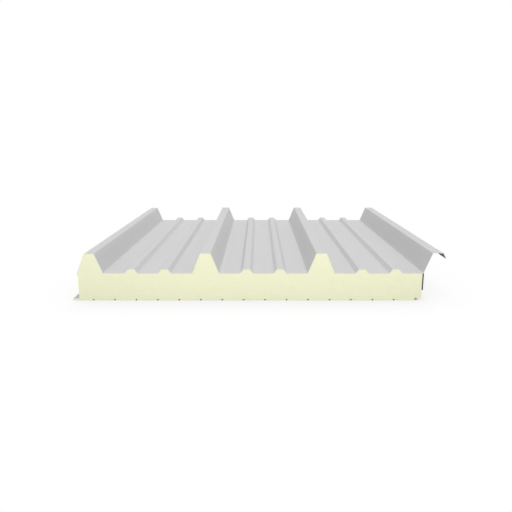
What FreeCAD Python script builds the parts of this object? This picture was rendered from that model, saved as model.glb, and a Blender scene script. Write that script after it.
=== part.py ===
"""Insulated sandwich panel for roofs: two roll-formed steel sheets bonded to a foam core.

Millimetres. +X runs across the panel towards its overlap crown, +Y runs along the ribs and +Z is up.
The origin is on the underside, in the middle of the cover width and of the length.

Each sheet is drawn as the line of its outer surface, with its metal on the right of the line. The
inner surface is the same line moved by the sheet's thickness, rounded about the same bend centres.
The foam takes its outline from the inner surfaces, so it meets both sheets face to face.
"""
import FreeCAD
import Part
import math
import os
from FreeCAD import Vector

# The panel as it is laid
COVER_WIDTH = 1000.0          # width that one panel adds to a roof
LENGTH = 1000.0
DEPTH = 82.0                  # underside to the top of the flat between the ribs
JOINT_GAP = 5.0               # between the foam of two panels, side by side

# The outer sheet
OUTER_THICKNESS = 0.5
OUTER_BEND = 1.5              # inside radius of a bend
CROWN_COUNT = 4               # the last one is the empty overlap crown
CROWN_HEIGHT = 59.0
CROWN_TOP = 30.0              # flat on top of a crown, corner to corner
CROWN_RUN = 24.0              # width of one sloping flank
LAP_CLEARANCE = 1.0           # between the overlap crown and the crown that it lies over
LIP_DEPTH = 16.5              # how far the overlap crown's lip comes down
LIP_RUN = 9.0                 # how far it leans out on the way
RETURN_DEPTH = 10.0           # how far the sheet's left edge comes down the foam's side
FOOT_INSET = 2.0              # foam side to the foot of the overlap crown

# The low stiffening ribs, a pair in each bay
RIB_HEIGHT = 12.0
RIB_TOP = 19.0
RIB_RUN = 9.0
RIB_SPACING = 97.0            # centre to centre

# The liner sheet
LINER_THICKNESS = 0.4
LINER_BEND = 0.8              # inside radius of a bend
GROOVE_COUNT = 16             # in one cover width, with the joint as one of them
GROOVE_DEPTH = 4.2
GROOVE_TOP = 3.0
GROOVE_MOUTH = 6.0

# The joint in the liner: a tongue on the left, which enters the next panel's rebate
TONGUE_LENGTH = 18.0
TONGUE_THICKNESS = 7.0
TONGUE_NOSE = 2.5             # inside radius of the tongue's two corners
REBATE_HEIGHT = 8.5
REBATE_WIDTH = 19.5
REBATE_SLOPE = 1.5            # how far the rebate's side leans

# The strip that seals the joint
GASKET_THICKNESS = 4.0
GASKET_HEIGHT = 50.0
GASKET_ROUND = 1.0            # on its two outer long edges

# Places that follow from those sizes
CROWN_PITCH = COVER_WIDTH / (CROWN_COUNT - 1)
FIRST_CROWN_X = -COVER_WIDTH / 2
LAST_CROWN_X = COVER_WIDTH / 2
CROWN_TOP_Z = DEPTH + CROWN_HEIGHT
CROWN_FOOT = CROWN_TOP / 2 + CROWN_RUN
RIGHT_SIDE_X = LAST_CROWN_X - CROWN_FOOT - FOOT_INSET
LEFT_SIDE_X = RIGHT_SIDE_X + JOINT_GAP - COVER_WIDTH
TONGUE_TIP_X = LEFT_SIDE_X - TONGUE_LENGTH
REBATE_X = RIGHT_SIDE_X - REBATE_WIDTH


def at(point):
    """The (x, z) point in the plane of the section."""
    return Vector(point[0], 0, point[1])


def moved_right(points, distance):
    """The open line of (x, z) points, moved to its right by distance, with mitred corners."""
    sides = []
    for (x0, z0), (x1, z1) in zip(points, points[1:]):
        run = math.hypot(x1 - x0, z1 - z0)
        sides.append(((z1 - z0) / run, (x0 - x1) / run))
    moved = []
    for i, (x, z) in enumerate(points):
        before = sides[max(i - 1, 0)]
        after = sides[min(i, len(sides) - 1)]
        share = distance / (1 + before[0] * after[0] + before[1] * after[1])
        moved.append((x + share * (before[0] + after[0]), z + share * (before[1] + after[1])))
    return moved


def turns_right(points, i):
    """True where the line bends to its right at point i."""
    (x0, z0), (x1, z1), (x2, z2) = points[i - 1:i + 2]
    return (x1 - x0) * (z2 - z1) - (z1 - z0) * (x2 - x1) < 0


def rounded_line(points, bends, right_extra, left_extra):
    """Edges along the points, with an arc at each inner one: its bend radius, plus the extra for its side."""
    edges = []
    start = at(points[0])
    for i in range(1, len(points) - 1):
        radius = bends[i] + (right_extra if turns_right(points, i) else left_extra)
        corner = at(points[i])
        back = (at(points[i - 1]) - corner).normalize()
        ahead = (at(points[i + 1]) - corner).normalize()
        half_turn = (math.pi - back.getAngle(ahead)) / 2
        reach = radius * math.tan(half_turn)
        middle = corner + (back + ahead).normalize() * (radius / math.cos(half_turn) - radius)
        edges.append(Part.LineSegment(start, corner + back * reach).toShape())
        start = corner + ahead * reach
        edges.append(Part.Arc(corner + back * reach, middle, start).toShape())
    edges.append(Part.LineSegment(start, at(points[-1])).toShape())
    return edges


def extruded(edges):
    """The solid with this closed outline, over the panel's whole length."""
    face = Part.Face(Part.Wire(Part.sortEdges(edges)[0]))
    solid = face.extrude(Vector(0, LENGTH, 0))
    solid.translate(Vector(0, -LENGTH / 2, 0))
    return solid


def crown_line(x, set_in):
    """The four corners of a crown, set in all round by a distance, from its left foot to its right foot."""
    slope = CROWN_RUN / CROWN_HEIGHT
    narrowed = set_in * math.hypot(1, slope)
    foot = CROWN_FOOT - narrowed
    top = CROWN_TOP / 2 + slope * set_in - narrowed
    top_z = CROWN_TOP_Z - set_in
    return [(x - foot, DEPTH), (x - top, top_z), (x + top, top_z), (x + foot, DEPTH)]


def rib_line(x):
    """The four corners of a low rib, from left to right."""
    foot = RIB_TOP / 2 + RIB_RUN
    top_z = DEPTH + RIB_HEIGHT
    return [(x - foot, DEPTH), (x - RIB_TOP / 2, top_z), (x + RIB_TOP / 2, top_z), (x + foot, DEPTH)]


def groove_line(x):
    """The four corners of a liner groove, from right to left."""
    mouth = GROOVE_MOUTH / 2
    top = GROOVE_TOP / 2
    return [(x + mouth, 0), (x + top, GROOVE_DEPTH), (x - top, GROOVE_DEPTH), (x - mouth, 0)]


def outer_sheet_line():
    """The weather side of the outer sheet, from its left edge to the overlap crown's foot, and the crown."""
    points = [(LEFT_SIDE_X - OUTER_THICKNESS, DEPTH - RETURN_DEPTH)]
    for i in range(CROWN_COUNT - 1):
        x = FIRST_CROWN_X + i * CROWN_PITCH
        bay_x = x + CROWN_PITCH / 2
        points += crown_line(x, OUTER_THICKNESS + LAP_CLEARANCE if i == 0 else 0.0)
        points += rib_line(bay_x - RIB_SPACING / 2)
        points += rib_line(bay_x + RIB_SPACING / 2)
    overlap_crown = crown_line(LAST_CROWN_X, 0.0)[:3]
    overlap_crown.append((LAST_CROWN_X + CROWN_TOP / 2 + LIP_RUN, CROWN_TOP_Z - LIP_DEPTH))
    return points, overlap_crown


def liner_line():
    """The underside of the liner from the rebate to the tongue, and the inside radius at each point."""
    points = [
        (RIGHT_SIDE_X, REBATE_HEIGHT),
        (REBATE_X + REBATE_SLOPE, REBATE_HEIGHT),
        (REBATE_X, 0),
    ]
    joint_x = (REBATE_X + TONGUE_TIP_X + COVER_WIDTH) / 2
    for i in range(1, GROOVE_COUNT):
        points += groove_line(joint_x - i * COVER_WIDTH / GROOVE_COUNT)
    bends = [LINER_BEND] * len(points) + [TONGUE_NOSE, TONGUE_NOSE, 0]
    points += [(TONGUE_TIP_X, 0), (TONGUE_TIP_X, TONGUE_THICKNESS), (LEFT_SIDE_X, TONGUE_THICKNESS)]
    return points, bends


def sheet(points, bends, thickness):
    """The solid of a sheet, from the line of its outer surface."""
    inner_points = moved_right(points, thickness)
    outer = rounded_line(points, bends, thickness, 0)
    inner = rounded_line(inner_points, bends, 0, thickness)
    ends = [
        Part.LineSegment(at(points[0]), at(inner_points[0])).toShape(),
        Part.LineSegment(at(points[-1]), at(inner_points[-1])).toShape(),
    ]
    return extruded(outer + inner + ends)


def foam_core():
    """The block between the inner surfaces of the two sheets, flush with them at both sides."""
    over_core, overlap_crown = outer_sheet_line()
    top_points = moved_right(over_core + overlap_crown[:1], OUTER_THICKNESS)
    top_points[-1] = (RIGHT_SIDE_X, DEPTH - OUTER_THICKNESS)
    top = rounded_line(top_points, [OUTER_BEND] * len(top_points), 0, OUTER_THICKNESS)
    under_core, bends = liner_line()
    bottom_points = moved_right(under_core, LINER_THICKNESS)
    bottom = rounded_line(bottom_points, bends, 0, LINER_THICKNESS)
    sides = [
        Part.LineSegment(at(top_points[-1]), at(bottom_points[0])).toShape(),
        Part.LineSegment(at(bottom_points[-1]), at(top_points[0])).toShape(),
    ]
    return extruded(top + bottom + sides)


def joint_gasket():
    """The strip on the foam's right side, up against the outer sheet."""
    base = Vector(RIGHT_SIDE_X, -LENGTH / 2, DEPTH - OUTER_THICKNESS - GASKET_HEIGHT)
    strip = Part.makeBox(GASKET_THICKNESS, LENGTH, GASKET_HEIGHT, base)
    outer_x = RIGHT_SIDE_X + GASKET_THICKNESS
    long_edges = [
        edge for edge in strip.Edges
        if edge.BoundBox.YLength > LENGTH / 2 and abs(edge.CenterOfMass.x - outer_x) < GASKET_ROUND / 2
    ]
    return strip.makeFillet(GASKET_ROUND, long_edges)


def build():
    over_core, overlap_crown = outer_sheet_line()
    outer_points = over_core + overlap_crown
    liner_points, liner_bends = liner_line()
    return {
        "outer_sheet": sheet(outer_points, [OUTER_BEND] * len(outer_points), OUTER_THICKNESS),
        "foam_core": foam_core(),
        "liner_sheet": sheet(liner_points, liner_bends, LINER_THICKNESS),
        "joint_gasket": joint_gasket(),
    }


def main():
    os.makedirs("parts", exist_ok=True)
    for name, solid in build().items():
        solid.exportStep(os.path.join("parts", name + ".step"))
        box = solid.BoundBox
        print(f"{name}: valid {solid.isValid()}, solids {len(solid.Solids)}, "
              f"volume {solid.Volume / 1e6:.4f} litres, "
              f"x {box.XMin:.2f} to {box.XMax:.2f}, z {box.ZMin:.2f} to {box.ZMax:.2f}")


main()
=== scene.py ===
# %% [markdown]
# # An insulated sandwich panel, dressed for a studio picture
# The part is a roof panel lying flat: a ribbed steel sheet, a pale yellow block of rigid foam and a thin
# steel liner, bonded into one unit, with a dark sealing strip down one side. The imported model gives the
# frame that everything is fitted to. The steel and the foam are modelled again here, with the soft bends,
# the slight waves and the sawn ends that such pieces have.

import math

import bmesh
import bpy
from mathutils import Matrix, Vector
from mathutils.kdtree import KDTree


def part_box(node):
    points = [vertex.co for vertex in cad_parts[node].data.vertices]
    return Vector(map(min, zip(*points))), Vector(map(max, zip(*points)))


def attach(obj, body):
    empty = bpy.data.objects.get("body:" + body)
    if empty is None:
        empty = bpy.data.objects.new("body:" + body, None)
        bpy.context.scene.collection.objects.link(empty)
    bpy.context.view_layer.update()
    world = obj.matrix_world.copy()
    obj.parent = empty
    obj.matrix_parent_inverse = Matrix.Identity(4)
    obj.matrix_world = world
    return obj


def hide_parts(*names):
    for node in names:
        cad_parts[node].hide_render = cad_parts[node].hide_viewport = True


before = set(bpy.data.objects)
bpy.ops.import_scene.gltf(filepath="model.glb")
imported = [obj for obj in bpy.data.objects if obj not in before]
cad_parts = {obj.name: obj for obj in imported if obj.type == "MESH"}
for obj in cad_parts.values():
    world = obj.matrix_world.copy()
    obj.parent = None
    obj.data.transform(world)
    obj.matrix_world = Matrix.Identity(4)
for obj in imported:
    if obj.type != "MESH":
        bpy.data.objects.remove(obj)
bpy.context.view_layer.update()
print("frame:", ", ".join(sorted(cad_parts)))

# %% [markdown]
# ## Where the pieces end
# The sheets' sections are drawn from their own sizes, in metres, which are given further down where each one
# is first needed. Where the pieces end comes from the frame instead: the panel's length, the foam's two sides
# and the heights are read off the nodes' boxes, so the dressed pieces always land on the solids.

# %% places from the frame
MM = 0.001

foam_low, foam_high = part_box("foam_core")
outer_low, outer_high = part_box("outer_sheet")
liner_low, liner_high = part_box("liner_sheet")
gasket_low, gasket_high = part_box("joint_gasket")

COVER_WIDTH = 1000 * MM
TONGUE_LENGTH = 18 * MM
FRONT_Y = outer_low.y
LENGTH = outer_high.y - FRONT_Y
TONGUE_TIP_X = liner_low.x
LEFT_SIDE_X = TONGUE_TIP_X + TONGUE_LENGTH
RIGHT_SIDE_X = foam_high.x
print(f"panel {LENGTH:.3f} m long, foam from {LEFT_SIDE_X:.4f} to {RIGHT_SIDE_X:.4f} m")

# %% [markdown]
# ## Colour and nodes
# Paint charts and colour pickers give colours as hex numbers, which are meant for a screen. The renderer
# counts light, so one function turns each number to linear. A second small function adds a shader node with
# its settings and links, which keeps every material readable from its first node to its last, and a third
# starts a material off with nothing but its output.

# %% helpers for materials
def linear(hex_colour):
    """The linear colour, with alpha, of an sRGB hex value."""
    channels = [int(hex_colour[i:i + 2], 16) / 255 for i in (0, 2, 4)]
    return (*[c / 12.92 if c <= 0.04045 else ((c + 0.055) / 1.055) ** 2.4 for c in channels], 1.0)


def add_node(tree, kind, inputs=None, **settings):
    """A new node: settings are its properties, and each input gets a value or is linked to a socket."""
    node = tree.nodes.new(kind)
    for name, value in settings.items():
        setattr(node, name, value)
    for name, value in (inputs or {}).items():
        if isinstance(value, bpy.types.NodeSocket):
            tree.links.new(value, node.inputs[name])
        else:
            node.inputs[name].default_value = value
    return node


def new_material(name):
    """An empty material: its node tree and its output node."""
    material = bpy.data.materials.new(name)
    material.use_nodes = True
    material.node_tree.nodes.clear()
    output = material.node_tree.nodes.new("ShaderNodeOutputMaterial")
    return material, material.node_tree, output


print(f"mid grey 808080 is {linear('808080')[0]:.2f} of white, counted as light")

# %% [markdown]
# ## Coil-coated steel
# The sheets are galvanised steel with a baked polyester coat, put on the flat coil before it is formed. The
# eye sees an even, light grey, low sheen: the coat is smooth to the touch, but has a fine pebble from the
# roller, and very faint bands along the coil. A principled shader with a plain colour would look like card,
# so a stretched noise gives the bands, a wide one gives a little handling dust, and a fine one the pebble.
# The pebble is about 1 mm on the real coat, too fine for a picture of the whole panel, so it is drawn
# at 3 mm. The liner's coat is a step greyer: partly its own grey, and partly painted shade, greyed for the
# shade that falls on the tongue's top beside the foam. The thin backing coat inside the sheets is greyer
# still and duller.

# %% the weather coat
BAND_WIDTH = 25 * MM
BAND_STRETCH = 0.04
DUST_PATCH = 180 * MM
PEBBLE_SIZE = 3 * MM
PEBBLE_DEPTH = 0.05 * MM


def coil_coat(name, light, dark, roughness):
    """Baked polyester on steel, between a light and a dark tone of one colour."""
    material, tree, output = new_material(name)
    place = add_node(tree, "ShaderNodeTexCoord").outputs["Object"]
    bands_place = add_node(tree, "ShaderNodeMapping", {"Vector": place, "Scale": (1.0, BAND_STRETCH, 1.0)})
    bands = add_node(tree, "ShaderNodeTexNoise", {
        "Vector": bands_place.outputs["Vector"], "Scale": 1 / BAND_WIDTH, "Detail": 3.0, "Roughness": 0.6})
    dust = add_node(tree, "ShaderNodeTexNoise", {
        "Vector": place, "Scale": 1 / DUST_PATCH, "Detail": 4.0, "Roughness": 0.55})
    both = add_node(tree, "ShaderNodeMix", {
        "Factor": 0.5, 2: bands.outputs["Fac"], 3: dust.outputs["Fac"]})
    tone = add_node(tree, "ShaderNodeMapRange", {
        "Value": both.outputs[0], "From Min": 0.35, "From Max": 0.65})
    colour = add_node(tree, "ShaderNodeMix", {
        "Factor": tone.outputs["Result"], "A": linear(dark), "B": linear(light)}, data_type="RGBA")
    sheen = add_node(tree, "ShaderNodeMapRange", {
        "Value": dust.outputs["Fac"], "From Min": 0.3, "From Max": 0.7,
        "To Min": roughness - 0.05, "To Max": roughness + 0.05})
    pebble = add_node(tree, "ShaderNodeTexNoise", {
        "Vector": place, "Scale": 1 / PEBBLE_SIZE, "Detail": 2.0})
    bump = add_node(tree, "ShaderNodeBump", {
        "Height": pebble.outputs["Fac"], "Distance": PEBBLE_DEPTH, "Strength": 0.5})
    shader = add_node(tree, "ShaderNodeBsdfPrincipled", {
        "Base Color": colour.outputs["Result"], "Roughness": sheen.outputs["Result"],
        "IOR": 1.3, "Normal": bump.outputs["Normal"]})
    tree.links.new(shader.outputs["BSDF"], output.inputs["Surface"])
    return material


WEATHER_COAT = coil_coat("light_grey_polyester_coat", "D1D1D1", "CECECE", 0.6)
# painted shade: the liner's coat is greyed, partly its own grey and partly for the shade on the tongue's top
# beside the foam
LINER_COAT_AND_SHADE = coil_coat("liner_coat_and_painted_shade", "B9B9BC", "B5B5B8", 0.6)
BACKING_COAT = coil_coat("grey_backing_coat", "9B9B9A", "939392", 0.7)
print("coats:", WEATHER_COAT.name, LINER_COAT_AND_SHADE.name, BACKING_COAT.name)

# %% [markdown]
# ## Bare steel
# Where a shear or a saw has cut the coil, the section shows: a thin line of fresh zinc and steel, brighter
# than the coat. It is a metal, so its colour goes into the reflection and its roughness does the rest. The
# burr that a blade leaves is a few tenths of a millimetre wide, and is drawn at 2 mm so that it can show.

# %% the cut edge
BURR_SIZE = 2 * MM


def cut_steel():
    material, tree, output = new_material("sheared_zinc_and_steel")
    place = add_node(tree, "ShaderNodeTexCoord").outputs["Object"]
    burr = add_node(tree, "ShaderNodeTexNoise", {"Vector": place, "Scale": 1 / BURR_SIZE, "Detail": 3.0})
    roughness = add_node(tree, "ShaderNodeMapRange", {
        "Value": burr.outputs["Fac"], "To Min": 0.3, "To Max": 0.5})
    shader = add_node(tree, "ShaderNodeBsdfPrincipled", {
        "Base Color": linear("F2F4F5"), "Metallic": 1.0, "Roughness": roughness.outputs["Result"]})
    tree.links.new(shader.outputs["BSDF"], output.inputs["Surface"])
    return material


CUT_STEEL = cut_steel()
print("cut edge:", CUT_STEEL.name)

# %% [markdown]
# ## Rigid foam
# The core is polyisocyanurate foam, blown between the sheets, pale yellow and quite matt. A saw cuts through
# its cells and leaves a dry, sugary face, with faint drifts where the rising foam has folded. The face is
# painted a little darker towards the panel's two sides: that is painted shade, for the light that falls off
# there. Near the steel it is a touch deeper in colour, where the foam set denser. So its colour is mixed from
# noise for the grain and the drifts, from the place across the panel for the painted shade, and from an
# attribute that the mesh will carry near the steel. Real cells are about 0.4 mm across and the grain between
# them 1 mm. They are drawn at 1.5 mm and 4 mm so that they can show.

# %% the sawn foam
CELL_SIZE = 1.5 * MM
GRAIN_SIZE = 4 * MM
DRIFT_SIZE = 35 * MM
CELL_RELIEF = 0.4 * MM
# where the painted shade towards the panel's two sides starts, and where it is full
SIDE_SHADE_FROM = 0.02            # square metres: the distance from the middle, squared
SIDE_SHADE_FULL_AT = 0.25


def sawn_foam():
    material, tree, output = new_material("sawn_polyisocyanurate_foam")
    place = add_node(tree, "ShaderNodeTexCoord").outputs["Object"]
    cells = add_node(tree, "ShaderNodeTexVoronoi", {"Vector": place, "Scale": 1 / CELL_SIZE})
    drifts_place = add_node(tree, "ShaderNodeMapping", {"Vector": place, "Scale": (1.0, 1.0, 2.2)})
    drifts = add_node(tree, "ShaderNodeTexNoise", {
        "Vector": drifts_place.outputs["Vector"], "Scale": 1 / DRIFT_SIZE, "Detail": 6.0,
        "Roughness": 0.7, "Distortion": 0.6})
    grain = add_node(tree, "ShaderNodeTexNoise", {
        "Vector": place, "Scale": 1 / GRAIN_SIZE, "Detail": 3.0, "Roughness": 0.7})
    mottle = add_node(tree, "ShaderNodeMix", {
        "Factor": 0.65, 2: drifts.outputs["Fac"], 3: grain.outputs["Fac"]})
    tone = add_node(tree, "ShaderNodeMapRange", {
        "Value": mottle.outputs[0], "From Min": 0.35, "From Max": 0.65})
    colour = add_node(tree, "ShaderNodeMix", {
        "Factor": tone.outputs["Result"], "A": linear("F1F2CE"), "B": linear("F6F7D8")},
        data_type="RGBA")
    # painted shade: towards the panel's two sides the sawn face is mixed to a darker tone, for the light that
    # falls off there
    across = add_node(tree, "ShaderNodeSeparateXYZ", {"Vector": place})
    outwards = add_node(tree, "ShaderNodeMath", {
        0: across.outputs["X"], 1: across.outputs["X"]}, operation="MULTIPLY")
    side_shade_amount = add_node(tree, "ShaderNodeMapRange", {
        "Value": outwards.outputs[0], "From Min": SIDE_SHADE_FROM, "From Max": SIDE_SHADE_FULL_AT})
    side_shaded = add_node(tree, "ShaderNodeMix", {
        "Factor": side_shade_amount.outputs["Result"], "A": colour.outputs["Result"], "B": linear("EFF0CF")},
        data_type="RGBA")
    skin = add_node(tree, "ShaderNodeAttribute", attribute_name="skin")
    edged = add_node(tree, "ShaderNodeMix", {
        "Factor": skin.outputs["Fac"], "A": side_shaded.outputs["Result"], "B": linear("F1F2CB")},
        data_type="RGBA")
    relief = add_node(tree, "ShaderNodeMix", {
        "Factor": 0.4, 2: cells.outputs["Distance"], 3: grain.outputs["Fac"]})
    bump = add_node(tree, "ShaderNodeBump", {
        "Height": relief.outputs[0], "Distance": CELL_RELIEF, "Strength": 0.5})
    shader = add_node(tree, "ShaderNodeBsdfPrincipled", {
        "Base Color": edged.outputs["Result"], "Roughness": 0.95, "IOR": 1.3,
        "Normal": bump.outputs["Normal"]})
    tree.links.new(shader.outputs["BSDF"], output.inputs["Surface"])
    return material


SAWN_FOAM = sawn_foam()
print("sawn face:", SAWN_FOAM.name)

# %% [markdown]
# ## The foam's skin
# Where the rising foam meets a steel sheet or a side belt, its cells close and it sets as a skin. The eye
# sees a smoother, slightly shiny yellow, with soft flow marks a few centimetres long, an orange peel and
# small pits where bubbles burst. The pits lie about a centimetre apart, at random, so a cell pattern of 11 mm
# gives them, cut off so that only the middle of each cell sinks. The orange peel is about 2 mm on the real
# skin, and is drawn at 5 mm so that it can show.

# %% the moulded skin
FLOW_SIZE = 26 * MM
PIT_SPACING = 11 * MM
PEEL_SIZE = 5 * MM
SKIN_RELIEF = 0.5 * MM


def moulded_foam():
    material, tree, output = new_material("moulded_polyisocyanurate_skin")
    place = add_node(tree, "ShaderNodeTexCoord").outputs["Object"]
    flow_place = add_node(tree, "ShaderNodeMapping", {"Vector": place, "Scale": (1.0, 0.5, 1.2)})
    flow = add_node(tree, "ShaderNodeTexNoise", {
        "Vector": flow_place.outputs["Vector"], "Scale": 1 / FLOW_SIZE, "Detail": 4.0,
        "Roughness": 0.55, "Distortion": 0.8})
    tone = add_node(tree, "ShaderNodeMapRange", {
        "Value": flow.outputs["Fac"], "From Min": 0.3, "From Max": 0.7})
    colour = add_node(tree, "ShaderNodeMix", {
        "Factor": tone.outputs["Result"], "A": linear("E8E8BE"), "B": linear("EFEFC8")},
        data_type="RGBA")
    pits = add_node(tree, "ShaderNodeTexVoronoi", {"Vector": place, "Scale": 1 / PIT_SPACING})
    pit_mask = add_node(tree, "ShaderNodeMapRange", {
        "Value": pits.outputs["Distance"], "From Min": 0.04, "From Max": 0.13})
    orange_peel = add_node(tree, "ShaderNodeTexNoise", {
        "Vector": place, "Scale": 1 / PEEL_SIZE, "Detail": 2.0})
    soft = add_node(tree, "ShaderNodeMath", {
        0: orange_peel.outputs["Fac"], 1: flow.outputs["Fac"]}, operation="ADD")
    relief = add_node(tree, "ShaderNodeMath", {
        0: soft.outputs[0], 1: pit_mask.outputs["Result"]}, operation="ADD")
    bump = add_node(tree, "ShaderNodeBump", {
        "Height": relief.outputs[0], "Distance": SKIN_RELIEF, "Strength": 0.5})
    shader = add_node(tree, "ShaderNodeBsdfPrincipled", {
        "Base Color": colour.outputs["Result"], "Roughness": 0.75, "IOR": 1.4,
        "Normal": bump.outputs["Normal"]})
    tree.links.new(shader.outputs["BSDF"], output.inputs["Surface"])
    return material


MOULDED_FOAM = moulded_foam()
print("skin:", MOULDED_FOAM.name)

# %% [markdown]
# ## The strip's foam
# The seal is a closed-cell polyethylene strip, nearly black and dull, with a fine leathery skin of burst
# cells and a bloom of dust in soft clouds. Its cells are about 1 mm, and are drawn at 2 mm so that they can
# show.

# %% the seal's material
STRIP_CELL = 2 * MM
CLOUD_SIZE = 24 * MM
STRIP_RELIEF = 0.8 * MM


def strip_foam():
    material, tree, output = new_material("black_closed_cell_polyethylene")
    place = add_node(tree, "ShaderNodeTexCoord").outputs["Object"]
    cells = add_node(tree, "ShaderNodeTexVoronoi", {"Vector": place, "Scale": 1 / STRIP_CELL})
    cloud = add_node(tree, "ShaderNodeTexNoise", {
        "Vector": place, "Scale": 1 / CLOUD_SIZE, "Detail": 6.0, "Roughness": 0.7})
    tone = add_node(tree, "ShaderNodeMapRange", {
        "Value": cloud.outputs["Fac"], "From Min": 0.35, "From Max": 0.65})
    dusty = add_node(tree, "ShaderNodeMix", {
        "Factor": tone.outputs["Result"], "A": linear("373738"), "B": linear("4A4A4B")}, data_type="RGBA")
    burst = add_node(tree, "ShaderNodeMapRange", {
        "Value": cells.outputs["Distance"], "From Min": 0.1, "From Max": 0.5, "To Min": 0.35, "To Max": 0.0})
    colour = add_node(tree, "ShaderNodeMix", {
        "Factor": burst.outputs["Result"], "A": dusty.outputs["Result"], "B": linear("5E5E5F")},
        data_type="RGBA")
    bump = add_node(tree, "ShaderNodeBump", {
        "Height": cells.outputs["Distance"], "Distance": STRIP_RELIEF, "Strength": 0.8})
    shader = add_node(tree, "ShaderNodeBsdfPrincipled", {
        "Base Color": colour.outputs["Result"], "Roughness": 0.85, "IOR": 1.5,
        "Normal": bump.outputs["Normal"]})
    tree.links.new(shader.outputs["BSDF"], output.inputs["Surface"])
    return material


STRIP_FOAM = strip_foam()
print("strip:", STRIP_FOAM.name)

# %% [markdown]
# ## The section of the outer sheet
# A roll former bends a flat coil a little at each stand until it has this section. It is drawn as one line,
# the weather side, from the short return at the left, over three filled crowns with a pair of low ribs
# after each, to the empty overlap crown with its lip. The left crown is set in by a sheet and a clearance,
# because the next panel's overlap crown lies over it.

# %% sizes of the outer sheet
OUTER_STEEL = 0.5 * MM
CROWN_COUNT = 4
CROWN_PITCH = COVER_WIDTH / (CROWN_COUNT - 1)
CROWN_HEIGHT = 59 * MM
CROWN_TOP = 30 * MM
CROWN_RUN = 24 * MM
LAP_CLEARANCE = 1.0 * MM
LIP_DEPTH = 16.5 * MM
LIP_RUN = 9 * MM
RETURN_DEPTH = 10 * MM
RIB_HEIGHT = 12 * MM
RIB_TOP = 19 * MM
RIB_RUN = 9 * MM
RIB_SPACING = 97 * MM
FLAT_Z = outer_high.z - CROWN_HEIGHT
print(f"crowns every {CROWN_PITCH / MM:.1f} mm, flats {FLAT_Z / MM:.1f} mm above the underside")

# %% the section of the outer sheet
def crown_line(x, set_in):
    """The four corners of a crown, set in all round by a distance, from its left foot to its right foot."""
    slope = CROWN_RUN / CROWN_HEIGHT
    narrowed = set_in * math.hypot(1, slope)
    foot = CROWN_TOP / 2 + CROWN_RUN - narrowed
    top = CROWN_TOP / 2 + slope * set_in - narrowed
    top_z = FLAT_Z + CROWN_HEIGHT - set_in
    return [(x - foot, FLAT_Z), (x - top, top_z), (x + top, top_z), (x + foot, FLAT_Z)]


def rib_line(x):
    """The four corners of a low rib, from left to right."""
    foot = RIB_TOP / 2 + RIB_RUN
    top_z = FLAT_Z + RIB_HEIGHT
    return [(x - foot, FLAT_Z), (x - RIB_TOP / 2, top_z), (x + RIB_TOP / 2, top_z), (x + foot, FLAT_Z)]


outer_line = [(LEFT_SIDE_X - OUTER_STEEL, FLAT_Z - RETURN_DEPTH)]
for crown in range(CROWN_COUNT - 1):
    crown_x = crown * CROWN_PITCH - COVER_WIDTH / 2
    outer_line += crown_line(crown_x, OUTER_STEEL + LAP_CLEARANCE if crown == 0 else 0.0)
    outer_line += rib_line(crown_x + (CROWN_PITCH - RIB_SPACING) / 2)
    outer_line += rib_line(crown_x + (CROWN_PITCH + RIB_SPACING) / 2)
outer_line += crown_line(COVER_WIDTH / 2, 0.0)[:3]
outer_line.append((COVER_WIDTH / 2 + CROWN_TOP / 2 + LIP_RUN, FLAT_Z + CROWN_HEIGHT - LIP_DEPTH))
print(f"outer sheet: {len(outer_line)} corners, x from {outer_line[0][0]:.4f} to {outer_line[-1][0]:.4f} m")

# %% [markdown]
# ## The section of the liner
# The liner is rolled in the same way. Its line is the underside, from the rebate at the right, along the
# narrow grooves that keep the thin sheet flat, to the tongue, which it wraps. The open joint between two
# panels looks like one more groove, so the pattern is set out from it.

# %% the section of the liner
LINER_STEEL = 0.4 * MM
GROOVE_COUNT = 16             # in one cover width, with the joint as one of them
GROOVE_DEPTH = 4.2 * MM
GROOVE_TOP = 3 * MM
GROOVE_MOUTH = 6 * MM
TONGUE_THICKNESS = 7 * MM
TONGUE_NOSE = 2.5 * MM
REBATE_WIDTH = 19.5 * MM
REBATE_HEIGHT = liner_high.z - LINER_STEEL
REBATE_SLOPE = 1.5 * MM
REBATE_X = RIGHT_SIDE_X - REBATE_WIDTH

liner_line = [
    (RIGHT_SIDE_X, REBATE_HEIGHT),
    (REBATE_X + REBATE_SLOPE, REBATE_HEIGHT),
    (REBATE_X, 0.0),
]
joint_x = (REBATE_X + TONGUE_TIP_X + COVER_WIDTH) / 2
for groove in range(1, GROOVE_COUNT):
    groove_x = joint_x - groove * COVER_WIDTH / GROOVE_COUNT
    liner_line += [
        (groove_x + GROOVE_MOUTH / 2, 0.0),
        (groove_x + GROOVE_TOP / 2, GROOVE_DEPTH),
        (groove_x - GROOVE_TOP / 2, GROOVE_DEPTH),
        (groove_x - GROOVE_MOUTH / 2, 0.0),
    ]
liner_line += [
    (TONGUE_TIP_X, 0.0),
    (TONGUE_TIP_X, TONGUE_THICKNESS),
    (LEFT_SIDE_X, TONGUE_THICKNESS),
]
print(f"liner: {len(liner_line)} corners, {GROOVE_COUNT - 1} grooves")

# %% [markdown]
# ## Forming a sheet
# The sheet could be lofted or bent with a deform modifier, but the plain way is closest to the machine. One
# vertex is extruded from corner to corner, which draws the section, and the section is extruded once along
# the panel. Beveling the long edges gives the bends, and the wide flats are divided so that they can bow.
# Edges are picked by a rule on their place, so a few small helpers come first.

# %% helpers for edit mode
def only(piece):
    """Makes this piece the only one that is selected, and the active one."""
    bpy.ops.object.select_all(action="DESELECT")
    piece.select_set(True)
    bpy.context.view_layer.objects.active = piece


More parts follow.
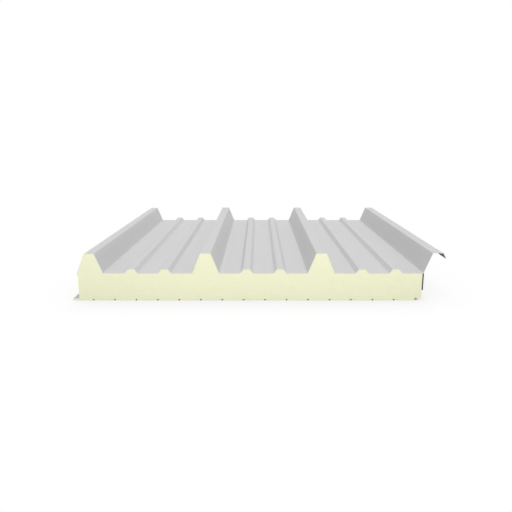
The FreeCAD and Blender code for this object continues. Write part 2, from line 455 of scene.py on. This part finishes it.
def pick_edges(rule):
    """In edit mode, selects the edges that the rule says yes to, and returns how many."""
    bpy.ops.mesh.select_mode(type="EDGE")
    bpy.ops.mesh.select_all(action="DESELECT")
    mesh = bmesh.from_edit_mesh(bpy.context.object.data)
    picked = [edge for edge in mesh.edges if rule(edge)]
    for edge in picked:
        edge.select_set(True)
    bmesh.update_edit_mesh(bpy.context.object.data)
    return len(picked)


def runs_lengthwise(edge):
    """True for an edge along the panel."""
    return abs(edge.verts[0].co.y - edge.verts[1].co.y) > 0.9 * edge.calc_length()


def apply_all(piece):
    """Applies the piece's modifiers in their order."""
    only(piece)
    for modifier in list(piece.modifiers):
        bpy.ops.object.modifier_apply(modifier=modifier.name)


print("edges along the panel are the bends, edges across it lie in the cut ends")

# %% roll forming
BEND_SEGMENTS = 4
FLAT_CELL = 15 * MM
MOST_CUTS = 11
ROW_LENGTH = 12.5 * MM


def roll_formed(name, line, bends, faces_up):
    """A sheet's outer surface: the line drawn corner by corner, run along the panel and bent.

    Each bend is its reach from the corner, and a rule that says which corners get it by their x."""
    bpy.ops.object.select_all(action="DESELECT")
    bpy.ops.mesh.primitive_plane_add(size=MM)
    piece = bpy.context.object
    piece.name = name
    bpy.ops.object.mode_set(mode="EDIT")
    bpy.ops.mesh.select_mode(type="VERT")
    bpy.ops.mesh.select_all(action="SELECT")
    bpy.ops.mesh.merge(type="CENTER")
    bpy.ops.transform.translate(value=(line[0][0], FRONT_Y, line[0][1]))
    for (x0, z0), (x1, z1) in zip(line, line[1:]):
        bpy.ops.mesh.extrude_region_move(TRANSFORM_OT_translate={"value": (x1 - x0, 0, z1 - z0)})
    bpy.ops.mesh.select_all(action="SELECT")
    bpy.ops.mesh.extrude_region_move(TRANSFORM_OT_translate={"value": (0, LENGTH, 0)})
    for reach, has_bend in bends:
        pick_edges(lambda edge: runs_lengthwise(edge) and len(edge.link_faces) == 2
                   and has_bend(edge.verts[0].co.x))
        bpy.ops.mesh.bevel(offset=reach, offset_type="OFFSET", segments=BEND_SEGMENTS, affect="EDGES")
    for cuts in range(1, MOST_CUTS + 1):
        if pick_edges(lambda edge: not runs_lengthwise(edge)
                      and int(edge.calc_length() / FLAT_CELL) == cuts):
            bpy.ops.mesh.subdivide(number_cuts=cuts)
    pick_edges(runs_lengthwise)
    bpy.ops.mesh.subdivide(number_cuts=round(LENGTH / ROW_LENGTH) - 1)
    bpy.ops.mesh.select_all(action="SELECT")
    bpy.ops.mesh.normals_make_consistent(inside=False)
    lift = sum(face.normal.z * face.calc_area() for face in bmesh.from_edit_mesh(piece.data).faces)
    if (lift > 0) != faces_up:
        bpy.ops.mesh.flip_normals()
    bpy.ops.object.mode_set(mode="OBJECT")
    return piece


print(f"flats are divided about every {FLAT_CELL / MM:.0f} mm across and every {ROW_LENGTH / MM} mm along")

# %% [markdown]
# ## Thickness and waves
# Steel this thin still has a thickness that the eye finds at every cut edge, so a Solidify modifier grows it
# inwards from the formed surface. Its material offsets put the backing coat on the inside and bare steel on
# the rim. The flats of thin steel on foam are never quite plane: a Displace modifier with a wide noise lets
# them sink by a few tenths of a millimetre, and a vertex group keeps it off the bends and the cut ends.

# %% thickness and finish
SMOOTH_BELOW = math.radians(30)


def give_steel(piece, thickness, coat):
    """Turns a formed surface into a sheet: its coat outside, the backing coat inside, bare steel at cuts."""
    for material in (coat, BACKING_COAT, CUT_STEEL):
        piece.data.materials.append(material)
    solidify = piece.modifiers.new("steel", "SOLIDIFY")
    solidify.thickness = thickness
    solidify.offset = -1.0
    solidify.use_even_offset = True
    solidify.material_offset = 1
    solidify.material_offset_rim = 2
    apply_all(piece)
    bpy.ops.object.shade_smooth_by_angle(angle=SMOOTH_BELOW)


print(f"edges that turn by less than {math.degrees(SMOOTH_BELOW):.0f} degrees are shaded smooth")

# %% waves in the flats
WAVE_DEPTH = 0.35 * MM
WAVE_LENGTH = 160 * MM
WAVE_FADE = 60 * MM           # from a cut end to where the waves are at full depth
ON_PLANE = 0.01 * MM


def wave_flats(piece, is_flat):
    """Lets the wide flats sink in soft waves that die out at the cut ends."""
    group = piece.vertex_groups.new(name="flats")
    for vertex in piece.data.vertices:
        if is_flat(vertex.co):
            from_end = LENGTH / 2 - abs(vertex.co.y)
            group.add([vertex.index], min(1.0, from_end / WAVE_FADE), "REPLACE")
    clouds = bpy.data.textures.new(piece.name + "_waves", "CLOUDS")
    clouds.noise_scale = WAVE_LENGTH
    clouds.noise_depth = 1
    displace = piece.modifiers.new("waves", "DISPLACE")
    displace.texture = clouds
    displace.texture_coords = "LOCAL"
    displace.vertex_group = "flats"
    displace.strength = WAVE_DEPTH
    displace.mid_level = 1.0
    apply_all(piece)
    piece.vertex_groups.clear()


print(f"waves are up to {WAVE_DEPTH / MM} mm deep and about {WAVE_LENGTH / MM:.0f} mm long")

# %% [markdown]
# ## The outer sheet
# Half a millimetre of steel over a metre of panel. The flats between the crowns are the parts that show it:
# held only by the foam, they take a low light unevenly. Their waves are modelled in the mesh, so that they
# are there from every side. The sheet stands in for its node, which is hidden.

# %% the outer sheet
OUTER_BEND = 1.2 * MM


def on_pan(point):
    """True for a point on the flats between the crowns and the ribs."""
    return abs(point.z - FLAT_Z) < ON_PLANE


outer_piece = roll_formed("outer_sheet_formed", outer_line, [(OUTER_BEND, lambda x: True)], True)
wave_flats(outer_piece, on_pan)
give_steel(outer_piece, OUTER_STEEL, WEATHER_COAT)
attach(outer_piece, "root")
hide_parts("outer_sheet")
print(f"{outer_piece.name}: {len(outer_piece.data.polygons)} faces")

# %% [markdown]
# ## The liner
# The same steps make the liner. It is thinner still, so its bends are tighter, apart from the tongue's nose,
# which is rounded off generously to slide into the next panel. Its flats wave between the grooves as the
# outer sheet's do.

# %% the liner
LINER_BEND = 0.7 * MM


def on_soffit(point):
    """True for a point on the underside, between the grooves."""
    return abs(point.z) < ON_PLANE


nose_x = TONGUE_TIP_X + 2 * TONGUE_NOSE
liner_piece = roll_formed("liner_formed", liner_line, [
    (TONGUE_NOSE, lambda x: x < nose_x), (LINER_BEND, lambda x: x >= nose_x)], False)
wave_flats(liner_piece, on_soffit)
give_steel(liner_piece, LINER_STEEL, LINER_COAT_AND_SHADE)
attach(liner_piece, "root")
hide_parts("liner_sheet")
print(f"{liner_piece.name}: {len(liner_piece.data.polygons)} faces")

# %% [markdown]
# ## The foam
# The foam is poured between the sheets, so its section is whatever the sheets leave: the frame has it
# exactly, and a copy of that node is the mould. The sawn ends need a mesh that is fine enough to be rough,
# and an extruded end has one big face. So a slab is gridded finely on its two ends and cut with the mould
# by a Boolean modifier, which keeps the grid inside the outline and makes one closed block. The mould is
# stretched first, so that it cuts only the slab's sides and leaves its ends alone.

# %% the mould
MERGE_WITHIN = 0.01 * MM
SAME_PLANE = 0.005            # radians
MOULD_STRETCH = 1.05

bpy.ops.object.select_all(action="DESELECT")
mould = bpy.data.objects["foam_core"].copy()
mould.data = mould.data.copy()
mould.name = "mould"
bpy.context.scene.collection.objects.link(mould)
only(mould)
bpy.ops.object.mode_set(mode="EDIT")
bpy.ops.mesh.select_all(action="SELECT")
bpy.ops.mesh.remove_doubles(threshold=MERGE_WITHIN)
bpy.ops.mesh.dissolve_limited(angle_limit=SAME_PLANE)
bpy.ops.mesh.select_all(action="SELECT")
bpy.ops.transform.resize(value=(1, MOULD_STRETCH, 1))
bpy.ops.object.mode_set(mode="OBJECT")
print(f"mould: {len(mould.data.polygons)} faces")

# %% the block
GRID_PITCH = 2.0 * MM
SAW_RECESS = 0.45 * MM
SLAB_MARGIN = 5 * MM

width = foam_high.x - foam_low.x + 2 * SLAB_MARGIN
height = foam_high.z - foam_low.z + 2 * SLAB_MARGIN
bpy.ops.object.select_all(action="DESELECT")
bpy.ops.mesh.primitive_grid_add(
    x_subdivisions=round(width / GRID_PITCH), y_subdivisions=round(height / GRID_PITCH), size=1.0,
    location=((foam_low.x + foam_high.x) / 2, FRONT_Y + SAW_RECESS, (foam_low.z + foam_high.z) / 2),
    rotation=(math.pi / 2, 0, 0))
foam_piece = bpy.context.object
foam_piece.name = "foam_block"
foam_piece.scale = (width, height, 1)
bpy.ops.object.transform_apply(location=True, rotation=True, scale=True)
bpy.ops.object.mode_set(mode="EDIT")
bpy.ops.mesh.select_all(action="SELECT")
bpy.ops.mesh.extrude_region_move(TRANSFORM_OT_translate={"value": (0, LENGTH - 2 * SAW_RECESS, 0)})
bpy.ops.mesh.select_all(action="SELECT")
bpy.ops.mesh.normals_make_consistent(inside=False)
bpy.ops.object.mode_set(mode="OBJECT")
cut = foam_piece.modifiers.new("mould", "BOOLEAN")
cut.operation = "INTERSECT"
cut.solver = "MANIFOLD"
cut.object = mould
apply_all(foam_piece)
bpy.data.objects.remove(mould)
print(f"{foam_piece.name}: {len(foam_piece.data.polygons)} faces, {foam_piece.dimensions.y:.4f} m long")

# %% [markdown]
# ## The sawn ends
# A saw tears the cells, so a cut end is rough by a few tenths of a millimetre, with a few deeper pits where
# the foam rose in folds. The outline has to stay on the steel, so only the points inside it move. They move
# about the sawn plane, which lies just far enough behind the steel's edge to keep the roughest of them inside
# the panel's length. The distance from each point to the outline also goes into an attribute, because the
# foam is denser and a touch deeper in colour where it set against the sheets.

# %% the sawn ends
SKIN_DEPTH = 4 * MM


def is_end(face, least=0.9):
    """True for a face of a sawn end, by how far it faces along the panel."""
    return abs(face.normal.y) > least


foam_mesh = foam_piece.data
end_faces = [face for face in foam_mesh.polygons if is_end(face)]
side_points = {v for face in foam_mesh.polygons if not is_end(face) for v in face.vertices}
end_points = {v for face in end_faces for v in face.vertices}
outline = KDTree(len(side_points))
for index in side_points:
    outline.insert(foam_mesh.vertices[index].co, index)
outline.balance()

sawn = foam_piece.vertex_groups.new(name="sawn")
skin_values = [1.0] * len(foam_mesh.vertices)
for index in end_points:
    depth = outline.find(foam_mesh.vertices[index].co)[2] / SKIN_DEPTH
    skin_values[index] = max(0.0, 1.0 - depth)
    if index not in side_points:
        sawn.add([index], min(1.0, depth), "REPLACE")
foam_mesh.attributes.new("skin", "FLOAT", "POINT").data.foreach_set("value", skin_values)
print(f"sawn ends: {len(end_faces)} faces, {len(end_points - side_points)} points that can move")

# %% the torn cells
TEAR_DEPTH = 0.35 * MM
TEAR_SIZE = 5 * MM
FOLD_DEPTH = 0.5 * MM
FOLD_SIZE = 30 * MM
STILL_END = 0.7               # a torn face leans, so it counts as an end from here on

tear_clouds = bpy.data.textures.new("torn_cells", "CLOUDS")
tear_clouds.noise_scale = TEAR_SIZE
tear_clouds.noise_depth = 3
fold_clouds = bpy.data.textures.new("folds", "CLOUDS")
fold_clouds.noise_scale = FOLD_SIZE
fold_clouds.noise_depth = 4
fold_clouds.contrast = 2.0
for texture, depth in ((tear_clouds, TEAR_DEPTH), (fold_clouds, FOLD_DEPTH)):
    tear = foam_piece.modifiers.new(texture.name, "DISPLACE")
    tear.texture = texture
    tear.texture_coords = "LOCAL"
    tear.vertex_group = "sawn"
    tear.strength = depth
    tear.mid_level = 0.5
apply_all(foam_piece)
foam_piece.vertex_groups.clear()

foam_mesh.materials.clear()
foam_mesh.materials.append(SAWN_FOAM)
foam_mesh.materials.append(MOULDED_FOAM)
for face in foam_mesh.polygons:
    face.material_index = 0 if is_end(face, STILL_END) else 1
only(foam_piece)
bpy.ops.object.shade_smooth_by_angle(angle=SMOOTH_BELOW)
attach(foam_piece, "root")
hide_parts("foam_core")
sawn_count = sum(face.material_index == 0 for face in foam_mesh.polygons)
print(f"{foam_piece.name}: {sawn_count} sawn faces of {len(foam_mesh.polygons)}")

# %% [markdown]
# ## The sealing strip
# A strip of soft foam tape is stuck along the joint side, to be squeezed by the next panel. It is slit from
# a sheet, so its long edges are slightly rounded, and its face is a little uneven. A box at the node's size
# is beveled on its two outer edges and divided both ways, and a noise sinks its face a little.

# %% the strip
STRIP_ROUND = 1.0 * MM
STRIP_ROWS = 12
STRIP_LENGTHS = 100

size = gasket_high - gasket_low
bpy.ops.object.select_all(action="DESELECT")
bpy.ops.mesh.primitive_cube_add(size=1.0, location=(gasket_low + gasket_high) / 2)
strip_piece = bpy.context.object
strip_piece.name = "gasket_strip"
strip_piece.scale = size
bpy.ops.object.transform_apply(location=True, rotation=True, scale=True)
bpy.ops.object.mode_set(mode="EDIT")
pick_edges(lambda edge: runs_lengthwise(edge) and edge.verts[0].co.x > gasket_high.x - STRIP_ROUND)
bpy.ops.mesh.bevel(offset=STRIP_ROUND, segments=BEND_SEGMENTS, affect="EDGES")
pick_edges(lambda edge: abs(edge.verts[0].co.z - edge.verts[1].co.z) > size.z / 2)
bpy.ops.mesh.subdivide(number_cuts=STRIP_ROWS - 1)
pick_edges(runs_lengthwise)
bpy.ops.mesh.subdivide(number_cuts=STRIP_LENGTHS - 1)
bpy.ops.object.mode_set(mode="OBJECT")
strip_faces = len(strip_piece.data.polygons)
print(f"{strip_piece.name}: {size.x / MM:.1f} by {size.z / MM:.1f} mm, {strip_faces} faces")

# %% the strip's uneven face
DENT_DEPTH = 0.6 * MM
DENT_SIZE = 25 * MM
STRIP_SMOOTH_BELOW = math.radians(40)

face_group = strip_piece.vertex_groups.new(name="face")
for vertex in strip_piece.data.vertices:
    if vertex.co.x > gasket_low.x + STRIP_ROUND / 2:
        face_group.add([vertex.index], 1.0, "REPLACE")
dents = bpy.data.textures.new("strip_dents", "CLOUDS")
dents.noise_scale = DENT_SIZE
dents.noise_depth = 2
sink = strip_piece.modifiers.new("dents", "DISPLACE")
sink.texture = dents
sink.texture_coords = "LOCAL"
sink.direction = "X"
sink.vertex_group = "face"
sink.strength = DENT_DEPTH
sink.mid_level = 1.0
apply_all(strip_piece)
strip_piece.vertex_groups.clear()
strip_piece.data.materials.append(STRIP_FOAM)
bpy.ops.object.shade_smooth_by_angle(angle=STRIP_SMOOTH_BELOW)
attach(strip_piece, "root")
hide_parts("joint_gasket")
print(f"{strip_piece.name}: dents up to {DENT_DEPTH / MM} mm deep, {strip_piece.data.materials[0].name}")

# %% [markdown]
# ## The studio
# The panel lies on a white floor under even light. The floor has two jobs that pull apart: seen by the
# camera, it has to be white, with a soft shadow round the panel, and seen by the panel, it must not throw so
# much light up that the foam's lower edge glares. So it is lit in two ways. To the camera and in
# reflections it glows a plain white, dimmed where the panel stands close by: more before its cut ends, less
# beside it, and nearly to black where the panel covers it. To all other rays it is matt, greyer near the
# panel and white further off.

# %% which rays see the studio
def seen_ray(tree):
    """One for a ray from the camera, a reflection or a transmission, and zero for the light's own rays."""
    path = add_node(tree, "ShaderNodeLightPath")
    glossy = add_node(tree, "ShaderNodeMath", {
        0: path.outputs["Is Camera Ray"], 1: path.outputs["Is Glossy Ray"]}, operation="MAXIMUM")
    both = add_node(tree, "ShaderNodeMath", {
        0: glossy.outputs[0], 1: path.outputs["Is Transmission Ray"]}, operation="MAXIMUM")
    return both.outputs[0]


print("seen rays: camera, glossy and transmission")

# %% the floor
FLOOR_WHITE = 0.92
FLOOR_NEAR = 0.5
NEAR_ENDS = 20 * MM           # from the panel to where the matt floor starts to whiten
WHITE_FROM = 300 * MM         # from the panel to where it is at its whitest
SHADOW_REACH = 150 * MM
SHADOW_AT_ENDS = 0.28
SHADOW_AT_SIDES = 0.11
BESIDE_FROM = 30 * MM         # from the panel to where the shadow counts as one at its side
SHOWN_MATT = 0.1
COVERED = 0.02                # how open the floor is to the sky where it turns black
UNCOVERED = 0.45


def studio_floor():
    material, tree, output = new_material("studio_floor")
    place = add_node(tree, "ShaderNodeTexCoord").outputs["Object"]
    from_middle = add_node(tree, "ShaderNodeVectorMath", {
        0: place, 1: ((LEFT_SIDE_X + RIGHT_SIDE_X) / 2, 0, 0)}, operation="SUBTRACT")
    mirrored = add_node(tree, "ShaderNodeVectorMath", {0: from_middle.outputs[0]}, operation="ABSOLUTE")
    beyond = add_node(tree, "ShaderNodeVectorMath", {
        0: mirrored.outputs[0], 1: ((RIGHT_SIDE_X - LEFT_SIDE_X) / 2, LENGTH / 2, 0)}, operation="SUBTRACT")
    outside = add_node(tree, "ShaderNodeVectorMath", {
        0: beyond.outputs[0], 1: (0, 0, 0)}, operation="MAXIMUM")
    distance = add_node(tree, "ShaderNodeVectorMath", {0: outside.outputs[0]}, operation="LENGTH")
    matt = add_node(tree, "ShaderNodeMapRange", {
        "Value": distance.outputs["Value"], "From Min": NEAR_ENDS, "From Max": WHITE_FROM,
        "To Min": FLOOR_NEAR, "To Max": FLOOR_WHITE})
    lit = add_node(tree, "ShaderNodeBsdfDiffuse", {"Color": matt.outputs["Result"]})
    shade = add_node(tree, "ShaderNodeAmbientOcclusion", {"Distance": SHADOW_REACH}, samples=16)
    beside = add_node(tree, "ShaderNodeSeparateXYZ", {"Vector": outside.outputs[0]})
    darkest = add_node(tree, "ShaderNodeMapRange", {
        "Value": beside.outputs["X"], "From Max": BESIDE_FROM,
        "To Min": (1 - SHOWN_MATT) * (1 - SHADOW_AT_ENDS),
        "To Max": (1 - SHOWN_MATT) * (1 - SHADOW_AT_SIDES)})
    open_floor = add_node(tree, "ShaderNodeMapRange", {
        "Value": shade.outputs["AO"], "To Min": darkest.outputs["Result"], "To Max": 1 - SHOWN_MATT})
    covered = add_node(tree, "ShaderNodeMapRange", {
        "Value": shade.outputs["AO"], "From Min": COVERED, "From Max": UNCOVERED})
    glow_strength = add_node(tree, "ShaderNodeMath", {
        0: open_floor.outputs["Result"], 1: covered.outputs["Result"]}, operation="MINIMUM")
    glow = add_node(tree, "ShaderNodeEmission", {"Strength": glow_strength.outputs[0]})
    shown = add_node(tree, "ShaderNodeBsdfDiffuse", {"Color": (SHOWN_MATT, SHOWN_MATT, SHOWN_MATT, 1.0)})
    seen = add_node(tree, "ShaderNodeAddShader", {0: glow.outputs[0], 1: shown.outputs[0]})
    mix = add_node(tree, "ShaderNodeMixShader", {0: seen_ray(tree), 1: lit.outputs[0], 2: seen.outputs[0]})
    tree.links.new(mix.outputs[0], output.inputs["Surface"])
    return material


FLOOR_WIDTH = 30.0

bpy.ops.object.select_all(action="DESELECT")
bpy.ops.mesh.primitive_plane_add(size=FLOOR_WIDTH)
floor = bpy.context.object
floor.name = "floor"
floor.data.materials.append(studio_floor())
print(f"floor: {FLOOR_WIDTH:.0f} m wide, {floor.data.materials[0].name}")

# %% [markdown]
# ## Light
# Most of the light is an even dome, which is the world's own colour. One broad lamp from the front and above
# adds direction: it lifts the foam and the flats, and leaves the crowns' flanks a step darker. Together they
# light a white sheet of paper to just about white.

# %% the dome
DOME = 0.58

world = bpy.data.worlds.new("dome")
bpy.context.scene.world = world
world.use_nodes = True
world.node_tree.nodes.clear()
dome_strength = add_node(world.node_tree, "ShaderNodeMapRange", {
    "Value": seen_ray(world.node_tree), "To Min": DOME, "To Max": 1.0})
dome = add_node(world.node_tree, "ShaderNodeBackground", {
    "Color": (1.0, 1.0, 1.0, 1.0), "Strength": dome_strength.outputs["Result"]})
add_node(world.node_tree, "ShaderNodeOutputWorld", {"Surface": dome.outputs[0]})
print(f"dome: {DOME} to the panel, 1.0 to the camera")

# %% the lamp
LAMP = 0.53
LAMP_BREADTH = math.radians(40)
LAMP_FROM = (0.08, -0.6, 0.8)

bpy.ops.object.light_add(type="SUN", location=(0.4, -2.0, 3.4))
lamp = bpy.context.object
lamp.name = "broad_lamp"
lamp.data.energy = math.pi * LAMP
lamp.data.angle = LAMP_BREADTH
lamp.rotation_euler = Vector(LAMP_FROM).to_track_quat("Z", "Y").to_euler()
print(f"lamp: {LAMP} on a sheet that faces it, {math.degrees(LAMP_BREADTH):.0f} degrees broad")

# %% [markdown]
# ## Camera
# The panel is seen from the front, a little above it, at the cut end, with the ribs running away to the
# back. A longer lens further off would flatten them, so the camera stands about a metre and a half away. Its
# focal length and its small shift are given in widths of the square picture.

# %% the camera
PICTURE_WIDTH = 512
FOCAL_WIDTHS = 536.77 / PICTURE_WIDTH
SHIFT_WIDTHS = -2.24 / PICTURE_WIDTH
EYE = (-0.01503, -1.9985, 0.4684)
DOWNWARD = 12.624             # degrees
SENSOR = 36.0                 # millimetres

bpy.ops.object.camera_add(location=EYE, rotation=(math.radians(90 - DOWNWARD), 0, 0))
camera = bpy.context.object
camera.name = "studio_camera"
camera.data.sensor_width = SENSOR
camera.data.lens = SENSOR * FOCAL_WIDTHS
camera.data.shift_x = SHIFT_WIDTHS
camera.data.clip_end = 100.0
bpy.context.scene.camera = camera
bpy.context.scene.view_settings.view_transform = "Standard"
print(f"camera: {camera.data.lens:.2f} mm lens")
